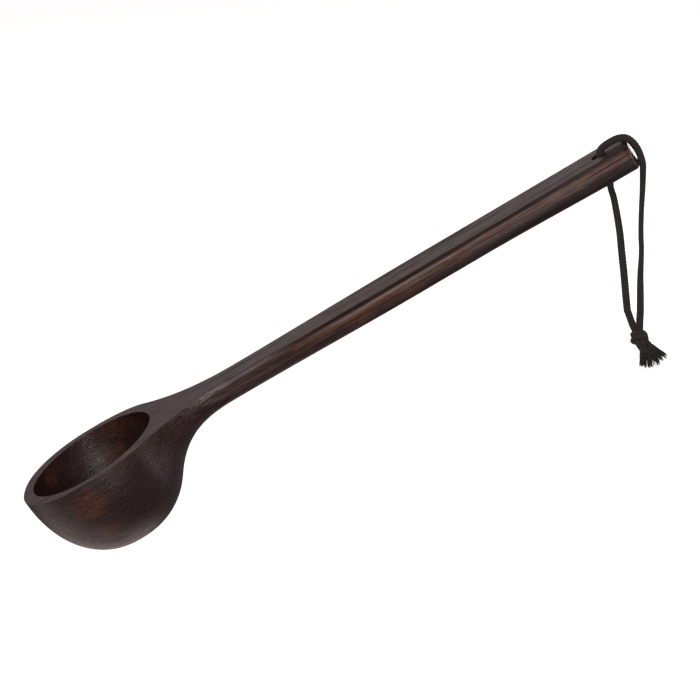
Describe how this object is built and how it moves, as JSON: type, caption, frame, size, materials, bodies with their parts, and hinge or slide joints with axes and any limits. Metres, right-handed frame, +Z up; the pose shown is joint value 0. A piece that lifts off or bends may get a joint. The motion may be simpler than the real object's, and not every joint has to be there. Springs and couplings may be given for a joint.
{
  "type": "sauna ladle",
  "caption": "Long-handled wooden ladle with a round bowl, carved in one piece, and a braided cord loop knotted through a hole at the handle end.",
  "frame": {"origin": "middle of the handle's section where the hand holds it, 300 mm from the bowl's tip", "axes": "+Z up as the ladle is held; +X level, from the bowl toward the handle end; +Y across the handle; the handle rises 32 degrees toward +X"},
  "size_m": [0.3634, 0.085, 0.2469],
  "materials": {
    "wood": "oiled satin, dark heat-treated",
    "cord": "matt braided"
  },
  "bodies": {
    "ladle": {"ladle": "wood", "cord_over_end": "cord"},
    "cord_loop": {"cord_inner_leg": "cord", "cord_outer_leg": "cord", "cord_knot": "cord", "cord_inner_tail": "cord", "cord_outer_tail": "cord"}
  },
  "joints": [
    {"name": "cord_swing", "type": "hinge", "parent": "ladle", "child": "cord_loop", "pos_m": [0.0745, 0, 0.0337], "axis": [0.848, 0, 0.5299], "range_deg": [-60, 60]}
  ]
}
